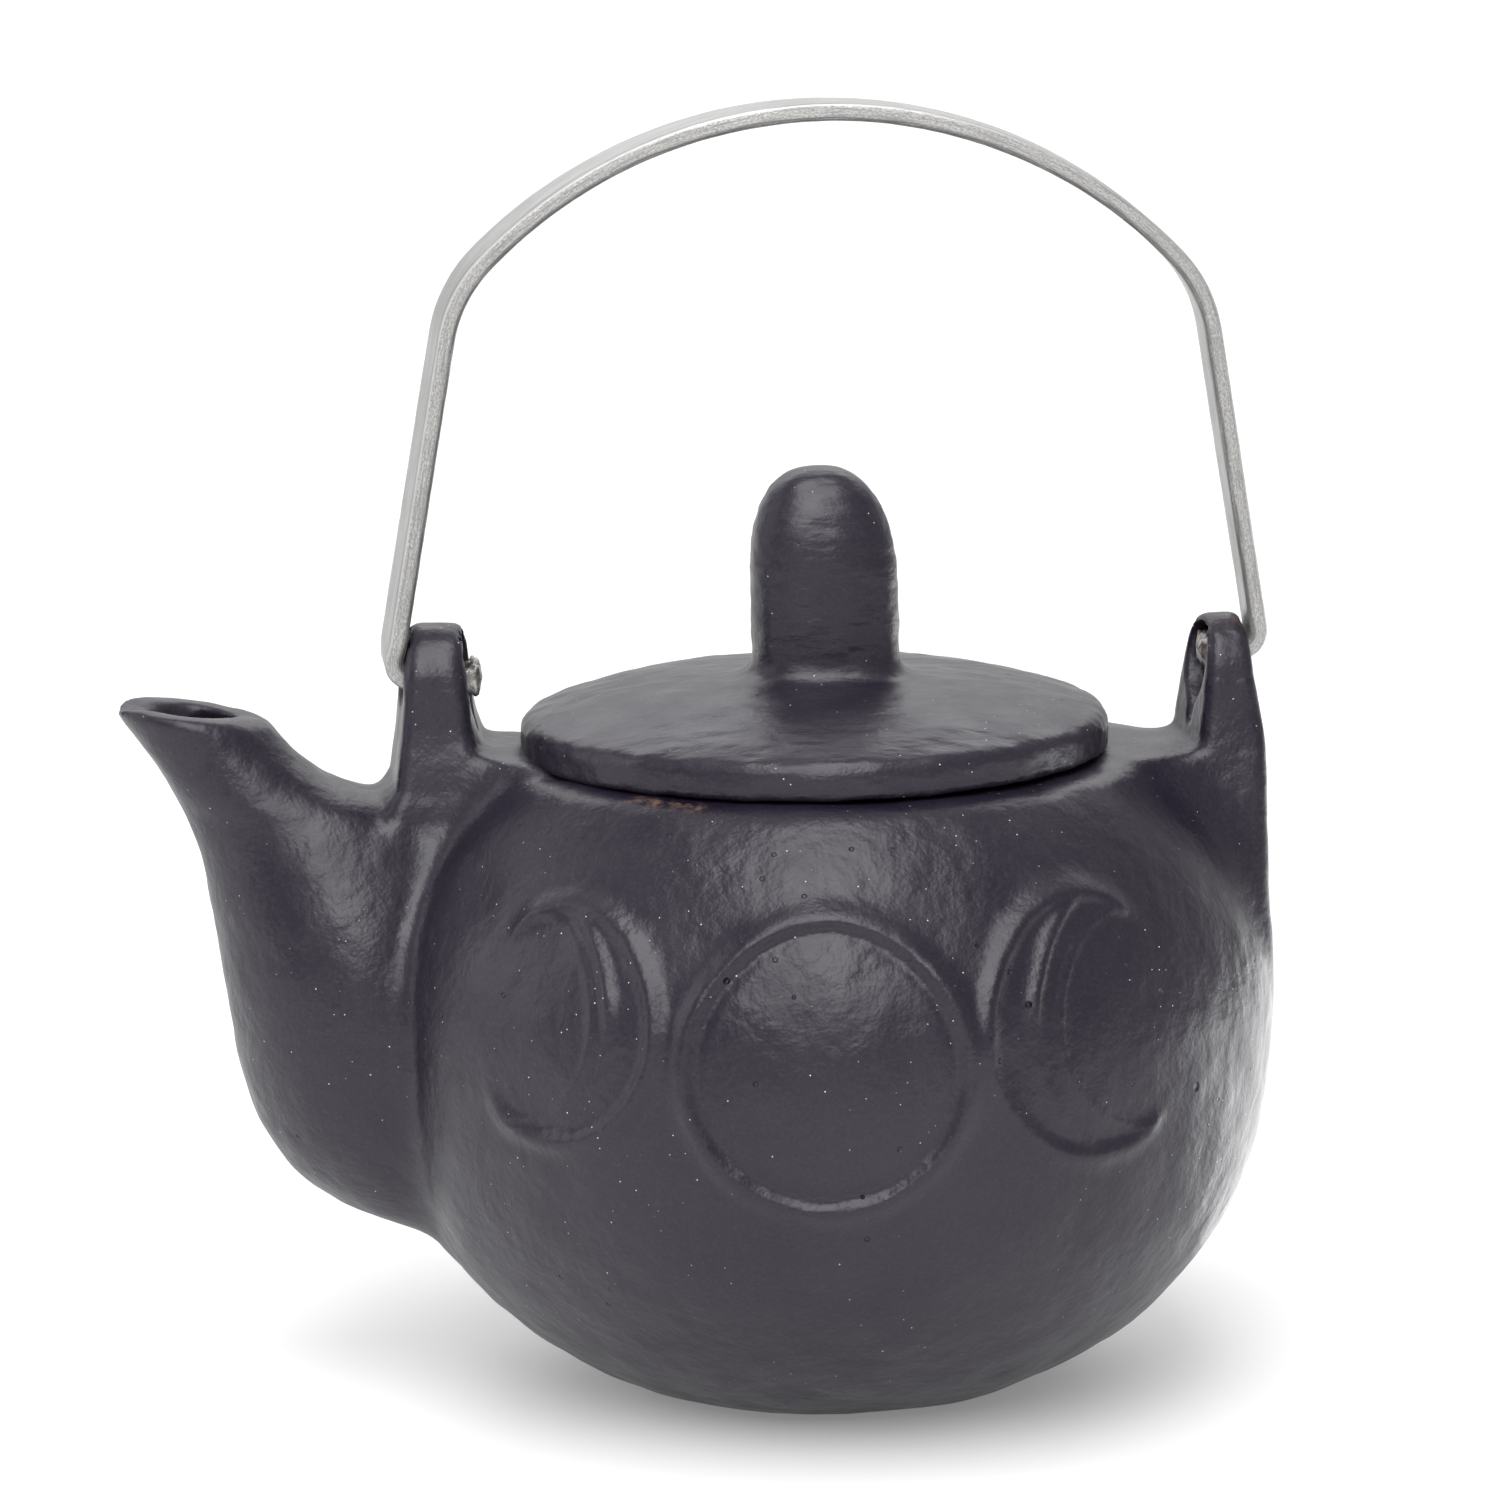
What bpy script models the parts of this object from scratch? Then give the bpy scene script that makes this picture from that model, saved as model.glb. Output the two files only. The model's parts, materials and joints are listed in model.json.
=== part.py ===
"""Cast iron teapot: a one-piece pot with its spout and two ears, a lift-off lid and a swinging steel bail.

The origin is the centre of the foot, +Z is up and the spout points along -X. Lengths are in metres.
"""

import math

import bmesh
import bpy
from mathutils import Vector

MM = 0.001
GAP = 0.3 * MM  # between pieces that touch

# Pot: a round belly under an elliptical shoulder, standing on a small flat foot.
BELLY_RADIUS = 56.6 * MM
BELLY_HEIGHT = 48.1 * MM
SHOULDER_RISE = 45.4 * MM
BOWL_POWER = 2.25
FOOT_RADIUS = 22.0 * MM
RIM_HEIGHT = 80.6 * MM
RIM_ROUNDING = 1.2 * MM
MOUTH_RADIUS = 31.0 * MM
WALL = 4.0 * MM
RIM_THICKNESS = 4.5 * MM
FLOOR_THICKNESS = 4.6 * MM
TURN_STEPS = 48

# Spout stations from the mouth down, in millimetres: outer (x, z), inner (x, z) and half width in y.
# The horn is cut off at the mouth by a plane that leans towards the pot.
SPOUT_SKIN = [
    ((-87.9, 87.5), (-69.9, 85.1), 7.3),
    ((-85.0, 81.8), (-68.3, 81.1), 7.9),
    ((-81.6, 77.1), (-62.4, 77.8), 9.6),
    ((-79.0, 71.0), (-50.0, 78.3), 12.4),
    ((-77.0, 62.5), (-44.0, 71.0), 16.4),
    ((-75.6, 52.5), (-40.0, 57.5), 19.2),
    ((-73.9, 41.5), (-38.0, 43.5), 18.6),
    ((-70.4, 32.5), (-38.0, 32.5), 15.8),
    ((-65.0, 26.1), (-38.0, 26.1), 12.2),
    ((-57.0, 21.7), (-40.0, 21.7), 7.8),
    ((-50.0, 19.3), (-42.0, 19.3), 3.0),
]
SPOUT_CHANNEL = [
    ((-86.6, 90.9), (-76.0, 89.5), 4.3),
    ((-85.2, 87.1), (-74.6, 85.7), 4.3),
    ((-81.6, 81.7), (-72.0, 81.1), 4.4),
    ((-78.0, 76.5), (-67.4, 76.1), 5.4),
    ((-75.0, 69.5), (-58.8, 69.1), 7.4),
    ((-72.8, 60.5), (-47.0, 60.5), 9.6),
    ((-70.8, 50.5), (-44.0, 50.5), 10.4),
    ((-68.0, 40.5), (-44.0, 40.5), 8.8),
    ((-62.0, 33.0), (-44.0, 33.0), 5.0),
]
SKIN_SIDES = 24
CHANNEL_SIDES = 16
LIP_POINT = 1.35  # above 1, a section comes to a point at both ends

# Ears, in millimetres: height above the rim, inner x and outer x from the bail's middle, and half width in y.
EAR_STATIONS = [
    (16.9, 47.6, 51.1, 3.4),
    (16.3, 46.6, 51.9, 4.9),
    (15.1, 45.7, 52.4, 6.1),
    (12.7, 45.1, 52.5, 7.0),
    (8.7, 44.8, 52.6, 7.4),
    (5.7, 44.5, 53.0, 8.1),
    (3.1, 43.6, 53.6, 9.8),
    (1.1, 42.2, 54.1, 12.6),
    (-1.1, 38.0, 54.4, 16.0),
    (-4.8, 36.0, 54.9, 16.8),
    (-11.3, 38.0, 55.4, 14.6),
    (-19.3, 42.0, 55.9, 10.4),
    (-26.3, 46.0, 55.9, 5.6),
    (-30.3, 50.0, 55.0, 2.4),
]
EAR_SIDES = 20
EAR_POWER = 0.62  # below 1, the section is boxy
EAR_HOLE_RADIUS = 4.3 * MM
EAR_GROOVE_RADIUS = 2.5 * MM
EAR_GROOVE_X = 44.8 * MM
EAR_GROOVE_BOTTOM = 83.3 * MM

# Bail: one flat steel strip, bent to an arch whose legs lean in and whose ends turn in through the ears.
BAIL_CENTRE_X = 0.3 * MM
PIVOT_HEIGHT = 91.6 * MM
STRIP_THICKNESS = 2.2 * MM
STRIP_WIDTH = 7.8 * MM
STRIP_EDGE = 0.6 * MM
ARCH_TOP = 162.2 * MM
ARCH_RADIUS = 60.0 * MM
SHOULDER_BEND = 18.0 * MM
END_BEND = 2.6 * MM
LEG_LEAN = math.radians(9.3)
LEG_POINT = Vector((53.6, 98.7)) * MM
STRIP_END_X = 43.0 * MM
PEENED_THICKNESS = 3.2 * MM
PEENED_LENGTH = 1.2 * MM

# Lid: a low cone with a thumb-shaped knob, and a ring below that drops into the mouth.
LID_RADIUS = 36.8 * MM
LID_EDGE = 3.7 * MM
LID_ROUNDING = 0.8 * MM
LID_SLOPE = math.radians(15)
LID_CROWN = 0.9 * MM  # rise of the cone's side above a straight one
LID_THICKNESS = 4.2 * MM
RING_RADIUS = 29.8 * MM
RING_WALL = 3.0 * MM
RING_DEPTH = 4.0 * MM
KNOB_HALF_X = 9.3 * MM
KNOB_HALF_Y = 7.6 * MM
LID_CENTRE_X = -1.2 * MM  # the disc is cast a little off the knob's axis
KNOB_TOP = 116.0 * MM
KNOB_DOME = 14.0 * MM
KNOB_FLARE = 3.8 * MM
KNOB_SIDES = 28


def clear_scene():
    for obj in list(bpy.data.objects):
        bpy.data.objects.remove(obj)


def make_collection(name):
    collection = bpy.data.collections.new(name)
    bpy.context.scene.collection.children.link(collection)
    return collection


def make_material(name, colour, roughness, metallic):
    material = bpy.data.materials.new(name)
    material.use_nodes = True
    shader = material.node_tree.nodes["Principled BSDF"]
    shader.inputs["Base Color"].default_value = (*colour, 1.0)
    shader.inputs["Roughness"].default_value = roughness
    shader.inputs["Metallic"].default_value = metallic
    return material


def add_object(name, mesh, collection):
    obj = bpy.data.objects.new(name, mesh)
    collection.objects.link(obj)
    return obj


def hide(obj):
    obj.hide_render = True
    obj.display_type = "WIRE"
    return obj


def finish_mesh(shape, name):
    """A mesh from a bmesh, with its faces turned outwards and shaded smooth."""
    bmesh.ops.recalc_face_normals(shape, faces=shape.faces)
    mesh = bpy.data.meshes.new(name)
    shape.to_mesh(mesh)
    shape.free()
    mesh.shade_smooth()
    mesh.set_sharp_from_angle(angle=math.radians(40))
    return mesh


def loft(name, rings, collection):
    """A closed solid through rings of as many points each, with flat ends."""
    shape = bmesh.new()
    loops = [[shape.verts.new(point) for point in ring] for ring in rings]
    for one, other in zip(loops, loops[1:]):
        for i in range(len(one)):
            j = (i + 1) % len(one)
            shape.faces.new((one[i], one[j], other[j], other[i]))
    shape.faces.new(loops[0])
    shape.faces.new(loops[-1])
    return add_object(name, finish_mesh(shape, name), collection)


def turned(name, profile, collection):
    """A solid of revolution from (radius, height) points that run down its outer side."""
    shape = bmesh.new()
    points = [shape.verts.new((radius, 0.0, height)) for radius, height in profile]
    for one, other in zip(points, points[1:]):
        shape.edges.new((one, other))
    mesh = bpy.data.meshes.new(name)
    shape.to_mesh(mesh)
    shape.free()
    obj = add_object(name, mesh, collection)
    screw = obj.modifiers.new("Turn", "SCREW")
    screw.steps = TURN_STEPS
    screw.render_steps = TURN_STEPS
    screw.use_merge_vertices = True
    screw.merge_threshold = 0.00001
    screw.use_smooth_shade = True
    return obj


def boolean(obj, other, operation):
    modifier = obj.modifiers.new(operation.title() + " " + other.name, "BOOLEAN")
    modifier.operation = operation
    modifier.solver = "EXACT"
    modifier.object = other


def cylinder(name, radius, start, end, sides, collection):
    """A cylinder between two points."""
    shape = bmesh.new()
    axis = end - start
    turn = axis.to_track_quat("Z", "Y").to_matrix().to_4x4()
    turn.translation = (start + end) / 2
    bmesh.ops.create_cone(
        shape, cap_ends=True, segments=sides, radius1=radius, radius2=radius, depth=axis.length, matrix=turn
    )
    return add_object(name, finish_mesh(shape, name), collection)


def spaced(start, end, count):
    return [start + (end - start) * i / (count - 1) for i in range(count)]


def power_of(value, power):
    return math.copysign(abs(value) ** power, value)


# --- Pot ---


def pot_radius(height, inset):
    """Radius of the pot's skin at a height, or of a surface inset below it."""
    widest = BELLY_RADIUS - inset
    if height >= BELLY_HEIGHT:
        share = (height - BELLY_HEIGHT) / (SHOULDER_RISE - inset)
        return widest * math.sqrt(1 - share**2)
    full_depth = BELLY_HEIGHT / (1 - (FOOT_RADIUS / BELLY_RADIUS) ** BOWL_POWER) ** (1 / BOWL_POWER)
    share = (BELLY_HEIGHT - height) / (full_depth - inset)
    return widest * (1 - share**BOWL_POWER) ** (1 / BOWL_POWER)


def wall_points(top, bottom, inset):
    """The pot's side as (radius, height) points, closer together towards the bottom."""
    upper = spaced(top, BELLY_HEIGHT, 7)
    lower = [BELLY_HEIGHT + (bottom - BELLY_HEIGHT) * math.sin(turn) for turn in spaced(0, math.pi / 2, 10)]
    return [(pot_radius(height, inset), height) for height in upper + lower[1:]]


def pot_skin(collection):
    top = RIM_HEIGHT - RIM_ROUNDING
    edge = pot_radius(top, 0)
    profile = [(0, RIM_HEIGHT), (edge - RIM_ROUNDING, RIM_HEIGHT)]
    profile += wall_points(top, 0, 0) + [(0, 0)]
    return turned("pot_body", profile, collection)


def pot_cavity(collection):
    ceiling = RIM_HEIGHT - RIM_THICKNESS
    profile = [(0, RIM_HEIGHT + WALL), (MOUTH_RADIUS, RIM_HEIGHT + WALL), (MOUTH_RADIUS, ceiling)]
    profile += wall_points(ceiling, FLOOR_THICKNESS, WALL) + [(0, FLOOR_THICKNESS)]
    return turned("cavity_cutter", profile, collection)


def spout_ring(outer, inner, half_width, sides, point):
    centre_x, centre_z = (outer[0] + inner[0]) / 2, (outer[1] + inner[1]) / 2
    reach_x, reach_z = outer[0] - centre_x, outer[1] - centre_z
    ring = []
    for i in range(sides):
        turn = math.tau * i / sides
        across = half_width * power_of(math.sin(turn), point)
        ring.append(Vector((centre_x + reach_x * math.cos(turn), across, centre_z + reach_z * math.cos(turn))) * MM)
    return ring


def spout_part(name, stations, sides, collection):
    rings = []
    for i, (outer, inner, half_width) in enumerate(stations):
        point = LIP_POINT if i < 2 else 1.0
        rings.append(spout_ring(outer, inner, half_width, sides, point))
    return loft(name, rings, collection)


def ear_ring(height, inner, outer, half_width, side):
    centre, reach = (inner + outer) / 2, (outer - inner) / 2
    ring = []
    for i in range(EAR_SIDES):
        turn = math.tau * i / EAR_SIDES
        x = centre + reach * power_of(math.cos(turn), EAR_POWER)
        y = half_width * power_of(math.sin(turn), EAR_POWER)
        ring.append(Vector((side * x * MM + BAIL_CENTRE_X, y * MM, RIM_HEIGHT + height * MM)))
    return ring


def ear(side, collection):
    rings = [ear_ring(*station, side) for station in EAR_STATIONS]
    return loft(side_name(side) + "_ear_form", rings, collection)


def side_name(side):
    return "left" if side < 0 else "right"


def ear_cutters(side, collection):
    """The hole that the strip's end turns in, and the groove below it on the ear's inner face."""
    name = side_name(side)
    start = Vector((BAIL_CENTRE_X + side * 40 * MM, 0, PIVOT_HEIGHT))
    end = Vector((BAIL_CENTRE_X + side * 60 * MM, 0, PIVOT_HEIGHT))
    hole = cylinder(name + "_ear_hole", EAR_HOLE_RADIUS, start, end, 24, collection)
    foot = Vector((BAIL_CENTRE_X + side * EAR_GROOVE_X, 0, EAR_GROOVE_BOTTOM))
    head = Vector((foot.x, 0, PIVOT_HEIGHT))
    groove = cylinder(name + "_ear_groove", EAR_GROOVE_RADIUS, foot, head, 16, collection)
    return [hole, groove]


def build_pot(parts, helpers, material):
    pot = pot_skin(parts)
    pot.data.materials.append(material)
    for form in [spout_part("spout_form", SPOUT_SKIN, SKIN_SIDES, helpers), ear(-1, helpers), ear(1, helpers)]:
        boolean(pot, hide(form), "UNION")
    cutters = [pot_cavity(helpers), spout_part("channel_cutter", SPOUT_CHANNEL, CHANNEL_SIDES, helpers)]
    cutters += ear_cutters(-1, helpers) + ear_cutters(1, helpers)
    for cutter in cutters:
        boolean(pot, hide(cutter), "DIFFERENCE")


# --- Lid ---


def lid_height(radius):
    """Height of the lid's top face, a cone with slightly domed sides."""
    share = radius / LID_RADIUS
    crown = LID_CROWN * 4 * share * (1 - share)
    return RIM_HEIGHT + GAP + LID_EDGE + (LID_RADIUS - radius) * math.tan(LID_SLOPE) + crown


def lid_disc(collection):
    """The cone, its edge, the ring below and the hollow inside the ring, as one turned solid."""
    seat = RIM_HEIGHT + GAP
    inner_radius = RING_RADIUS - RING_WALL
    hollow_edge = lid_height(inner_radius) - LID_THICKNESS
    profile = [(radius, lid_height(radius)) for radius in spaced(0, LID_RADIUS - LID_ROUNDING, 6)]
    profile += [
        (LID_RADIUS, seat + LID_EDGE - LID_ROUNDING),
        (LID_RADIUS, seat + LID_ROUNDING),
        (LID_RADIUS - LID_ROUNDING, seat),
        (RING_RADIUS, seat),
        (RING_RADIUS, seat - RING_DEPTH),
        (inner_radius, seat - RING_DEPTH),
        (inner_radius, hollow_edge),
        (0, lid_height(0) - LID_THICKNESS),
    ]
    disc = turned("lid", profile, collection)
    disc.location.x = LID_CENTRE_X
    return disc


def knob_form(collection):
    """An oval thumb with a domed top, whose foot flares into the lid."""
    foot = lid_height(KNOB_HALF_X + KNOB_FLARE)
    levels = [(foot - MM, KNOB_FLARE)]
    for turn in spaced(0, math.pi / 2, 6):
        levels.append((foot + KNOB_FLARE * math.sin(turn), KNOB_FLARE * (1 - math.sin(turn)) ** 1.5))
    rings = [knob_ring(height, 1.0, flare) for height, flare in levels]
    for turn in spaced(0, math.radians(80), 8):
        height = KNOB_TOP - KNOB_DOME + KNOB_DOME * math.sin(turn) / math.sin(math.radians(80))
        rings.append(knob_ring(height, math.cos(turn), 0.0))
    return loft("knob_form", rings, collection)


def knob_ring(height, share, flare):
    ring = []
    for i in range(KNOB_SIDES):
        turn = math.tau * i / KNOB_SIDES
        x = (KNOB_HALF_X * share + flare) * math.cos(turn)
        y = (KNOB_HALF_Y * share + flare) * math.sin(turn)
        ring.append(Vector((x, y, height)))
    return ring


def build_lid(parts, helpers, material):
    lid = lid_disc(parts)
    lid.data.materials.append(material)
    boolean(lid, hide(knob_form(helpers)), "UNION")


# --- Bail ---


def arc(centre, radius, start, end, count):
    """Points on an arc, each with its outward direction."""
    points = []
    for turn in spaced(start, end, count):
        out = Vector((math.cos(turn), math.sin(turn)))
        points.append((centre + radius * out, out))
    return points


def bail_half():
    """The strip's centre line from the top of the arch to the right-hand end, as (point, outward) in (x, z)."""
    outward = Vector((math.cos(LEG_LEAN), math.sin(LEG_LEAN)))
    leg_distance = outward.dot(LEG_POINT)
    arch_centre = Vector((0, ARCH_TOP - STRIP_THICKNESS / 2 - ARCH_RADIUS))
    between = (leg_distance - SHOULDER_BEND - outward.dot(arch_centre)) / (ARCH_RADIUS - SHOULDER_BEND)
    shoulder_turn = LEG_LEAN + math.acos(between)
    shoulder_reach = Vector((math.cos(shoulder_turn), math.sin(shoulder_turn))) * (ARCH_RADIUS - SHOULDER_BEND)
    end_height = PIVOT_HEIGHT + END_BEND
    end_x = (leg_distance - END_BEND - outward.y * end_height) / outward.x
    line = arc(arch_centre, ARCH_RADIUS, math.pi / 2, shoulder_turn, 12)
    line += arc(arch_centre + shoulder_reach, SHOULDER_BEND, shoulder_turn, LEG_LEAN, 6)[1:]
    line += arc(Vector((end_x, end_height)), END_BEND, LEG_LEAN, -math.pi / 2, 7)
    return line


def bail_outline():
    """The strip seen from the front: down its outer side to the right-hand end, and back up its inner side."""
    half = STRIP_THICKNESS / 2
    thick = PEENED_THICKNESS / 2
    line = bail_half()
    neck = STRIP_END_X + PEENED_LENGTH
    outer = [point + out * half for point, out in line]
    inner = [point - out * half for point, out in line]
    end = [
        Vector((neck, PIVOT_HEIGHT - half)),
        Vector((neck - 0.4 * MM, PIVOT_HEIGHT - thick)),
        Vector((STRIP_END_X, PIVOT_HEIGHT - thick)),
        Vector((STRIP_END_X, PIVOT_HEIGHT + thick)),
        Vector((neck - 0.4 * MM, PIVOT_HEIGHT + thick)),
        Vector((neck, PIVOT_HEIGHT + half)),
    ]
    return outer + end + inner[::-1]


def build_bail(parts, material):
    """The right half of the strip, mirrored across the bail's mid-plane, with its long edges eased."""
    shape = bmesh.new()
    front = [shape.verts.new((point.x, -STRIP_WIDTH / 2, point.y - PIVOT_HEIGHT)) for point in bail_outline()]
    face = shape.faces.new(front)
    pushed = bmesh.ops.extrude_face_region(shape, geom=[face])
    corners = [item for item in pushed["geom"] if isinstance(item, bmesh.types.BMVert)]
    bmesh.ops.translate(shape, verts=corners, vec=(0, STRIP_WIDTH, 0))
    open_faces = [f for f in shape.faces if all(abs(v.co.x) < 0.01 * MM for v in f.verts)]
    bmesh.ops.delete(shape, geom=open_faces, context="FACES_ONLY")
    bail = add_object("bail_handle", finish_mesh(shape, "bail_handle"), parts)
    bail.location = (BAIL_CENTRE_X, 0, PIVOT_HEIGHT)
    bail.data.materials.append(material)
    mirror = bail.modifiers.new("Other half", "MIRROR")
    mirror.merge_threshold = 0.00001
    bevel = bail.modifiers.new("Eased edges", "BEVEL")
    bevel.width = STRIP_EDGE
    bevel.segments = 1
    bevel.limit_method = "ANGLE"
    bevel.angle_limit = math.radians(60)


def main():
    clear_scene()
    parts = make_collection("cast_iron_teapot")
    helpers = make_collection("forms_and_cutters")
    pot_iron = make_material("pot cast iron", (0.072, 0.068, 0.078), 0.5, 0.1)
    lid_iron = make_material("lid cast iron", (0.075, 0.071, 0.080), 0.5, 0.1)
    steel = make_material("bail steel", (0.62, 0.62, 0.60), 0.35, 1.0)
    build_pot(parts, helpers, pot_iron)
    build_lid(parts, helpers, lid_iron)
    build_bail(parts, steel)


main()
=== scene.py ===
"""Looks of the cast iron teapot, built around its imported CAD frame.

The pot and the lid are skins drawn round distance fields, so that their parts run into each other in
cast fillets. The bail is a swept strip. Shape functions work in millimetres and meshes are in metres.
"""

import json
import math

import bpy
import numpy as np
from mathutils import Matrix, Vector, noise


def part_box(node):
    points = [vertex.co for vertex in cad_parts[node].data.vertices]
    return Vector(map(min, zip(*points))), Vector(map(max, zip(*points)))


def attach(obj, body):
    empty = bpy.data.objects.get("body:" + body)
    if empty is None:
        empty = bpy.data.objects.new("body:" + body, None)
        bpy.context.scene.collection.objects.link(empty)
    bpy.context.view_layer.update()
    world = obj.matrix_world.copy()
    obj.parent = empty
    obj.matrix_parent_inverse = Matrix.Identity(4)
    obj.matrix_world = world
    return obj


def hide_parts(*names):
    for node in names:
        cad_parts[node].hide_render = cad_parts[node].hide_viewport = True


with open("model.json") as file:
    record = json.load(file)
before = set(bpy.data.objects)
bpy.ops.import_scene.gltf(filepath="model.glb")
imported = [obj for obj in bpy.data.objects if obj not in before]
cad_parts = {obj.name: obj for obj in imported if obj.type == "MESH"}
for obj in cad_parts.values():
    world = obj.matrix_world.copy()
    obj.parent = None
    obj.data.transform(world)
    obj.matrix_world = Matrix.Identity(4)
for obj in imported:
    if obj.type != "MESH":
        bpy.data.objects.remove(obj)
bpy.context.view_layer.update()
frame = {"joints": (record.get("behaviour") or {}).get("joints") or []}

MM = 0.001
POT_STEP = 0.6  # spacing of the grid that the pot's skin is drawn on
LID_STEP = 0.5
BLOCK = 4  # points along a block of the grid that is judged by its middle

# Sizes read from the frame.
HINGE = next(joint["pos_m"] for joint in frame["joints"] if joint["name"] == "bail_swing")
BAIL_X, PIVOT_HEIGHT = 1000 * HINGE[0], 1000 * HINGE[2]
BELLY_RADIUS = 1000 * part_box("pot_body")[1].x
EAR_TOP = 1000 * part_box("pot_body")[1].z
ARCH_TOP = 1000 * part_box("bail_handle")[1].z
KNOB_TOP = 1000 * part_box("lid")[1].z
LID_RADIUS = 500 * (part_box("lid")[1].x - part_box("lid")[0].x)
LID_X = 500 * (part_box("lid")[1].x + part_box("lid")[0].x)

# Pot.
RIM_HEIGHT = 80.6
BELLY_HEIGHT = 48.1
SHOULDER_RISE = 45.4
LOWER_DEPTH = 50.9
LOWER_POWER = 2.25
WALL = 4.0
FLOOR = 4.6
MOUTH_RADIUS = 31.0
MOUTH_FOOT = 60.0
RIM_THICKNESS = 4.5
RIM_TILT = 0.010  # the cast rim rises a little from the spout's side to the other
RIM_FALL = 0.1  # outside the lid the rim slopes down by this share

# Spout and its channel, as level sections: height, outer x, inner x, half width and the power of the oval.
SPOUT_SECTIONS = (
    (19.0, -47.6, -42.0, 4.5, 2.0),
    (21.5, -55.7, -40.0, 8.2, 2.0),
    (26.0, -64.4, -38.0, 12.6, 2.0),
    (32.0, -69.8, -38.0, 16.0, 2.0),
    (41.0, -73.4, -38.0, 18.8, 2.0),
    (52.0, -75.4, -40.0, 19.2, 2.0),
    (62.0, -76.8, -43.0, 16.8, 2.0),
    (70.5, -78.9, -46.0, 12.9, 2.1),
    (75.0, -80.8, -53.5, 10.8, 2.2),
    (76.8, -81.8, -59.6, 10.1, 2.3),
    (77.7, -82.3, -61.8, 9.8, 2.3),
    (79.2, -83.3, -63.8, 9.4, 2.2),
    (81.0, -84.5, -66.0, 9.0, 2.1),
    (85.5, -87.6, -69.8, 8.5, 1.9),
    (92.0, -91.8, -73.6, 8.2, 1.8),
)
CHANNEL_SECTIONS = (
    (33.0, -62.0, -44.0, 5.0, 2.0),
    (40.5, -68.0, -44.0, 8.8, 2.0),
    (50.5, -70.8, -44.0, 10.4, 2.0),
    (60.5, -72.8, -47.0, 9.6, 2.0),
    (69.5, -75.0, -58.8, 7.4, 2.0),
    (76.5, -78.0, -67.4, 5.4, 1.9),
    (81.7, -81.6, -71.8, 4.5, 1.7),
    (87.1, -84.8, -74.4, 4.3, 1.6),
    (92.0, -87.2, -76.4, 4.3, 1.6),
)
MOUTH_TIP = (-87.9, 87.8)
MOUTH_HEEL = (-69.9, 85.7)
SPOUT_FILLET = 3.2

# Ears, as level sections: height above the rim, inner and outer x from the bail's middle, and half width.
EAR_SECTIONS = (
    (-36.0, 43.0, 49.0, 3.0),
    (-31.0, 42.0, 52.3, 6.0),
    (-26.0, 41.0, 53.3, 8.5),
    (-19.3, 40.0, 54.1, 10.0),
    (-13.0, 38.5, 54.7, 10.2),
    (-6.7, 37.5, 54.7, 9.6),
    (-1.4, 38.5, 54.3, 8.8),
    (0.6, 44.0, 54.1, 8.4),
    (3.1, 44.8, 53.8, 7.9),
    (5.4, 45.1, 53.6, 7.6),
    (8.2, 45.4, 53.4, 7.4),
    (12.7, 45.9, 53.1, 7.2),
    (17.2, 46.2, 52.3, 7.2),
)
EAR_STAND = 0.7  # the ear away from the spout stands out further, below its hole
EAR_STAND_HEIGHT = 83.0
EAR_STAND_SPREAD = 4.5
EAR_SHIFT = 0.8  # the inner face is this much further in by the spout, and further out on the other side
EAR_SLANT = 0.1  # the plate's inner face turns a little towards the back
EAR_CORNER = 1.9
EAR_FILLET_LEVELS = (62.0, 74.0, 79.0, 82.0)
SPOUT_SIDE_FILLET = (3.5, 3.5, 6.0, 8.0)
FAR_SIDE_FILLET = (6.0, 7.5, 6.5, 6.0)
ARCH_CENTRE = EAR_TOP - 7.5
ARCH_RADIUS_Y = 7.2
SLOT_LEVELS = (83.4, 86.0, 88.5, 94.0, 95.4)
SLOT_WIDTH = (0.5, 1.1, 3.7, 3.9, 2.6)
SLOT_MIDDLE = 89.4
SLOT_REACH = 6.0
SLOT_DEPTH = 1.6
HOLE_RADIUS = 4.5
HOLE_START = 40.0  # the holes are cut only further than this from the bail's middle

# Relief on the side that faces -Y: a ring with a crescent on each side of it. Within its outer arc each
# crescent has a second ridge and a fine line, both round the middle of its hollow. Pairs of radii are
# left, then right.
MOTIF_TURN = math.radians(-5.1)
RING_HEIGHT = 51.9
RING_RADIUS = 17.5
RING_RISE = 1.1
DISC_INSET = 2.3
DISC_RISE = 0.25
CRESCENT_HEIGHT = 54.9
CRESCENT_OFFSET = 35.8
CRESCENT_RADII = (14.2, 15.8)
CRESCENT_RISE = 0.95
CRESCENT_REACH = 9.0  # its tips end this far out from its middle
HOLLOW_OFFSET = 43.0
HOLLOW_RADIUS = 13.0
HOLLOW_RISE = 0.3
SECOND_RADII = (15.4, 16.6)
SECOND_RISE = 0.2
SECOND_UPPER_RISE = 0.5  # added over its upper half

# Lid.
SEAT_HEIGHT = RIM_HEIGHT + 0.3
LID_EDGE = 4.4
LID_RISE = 5.1
LID_CORNER = 1.6
LID_TILT = 0.017
LID_THICKNESS = 4.2
LOCATING_RADII = (26.8, 29.8)
LOCATING_DEPTH = 4.0
LOCATING_BURIED = 2.0  # how far the ring runs on into the plate, and inwards before the hollow is cut
KNOB_HALF = (9.15, 7.7)
KNOB_X = 0.35
KNOB_LEAN = 0.5  # the crown stands this far towards the spout
KNOB_EXTRA = 0.5  # the crown stands this far above the CAD's
KNOB_DOME = 14.0
KNOB_FOOT = 86.0
KNOB_PLAN_POWER = 2.7
KNOB_CROWN_POWER = 2.3
KNOB_MEAN_HALF = 8.0
KNOB_FILLET = 2.8

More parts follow.
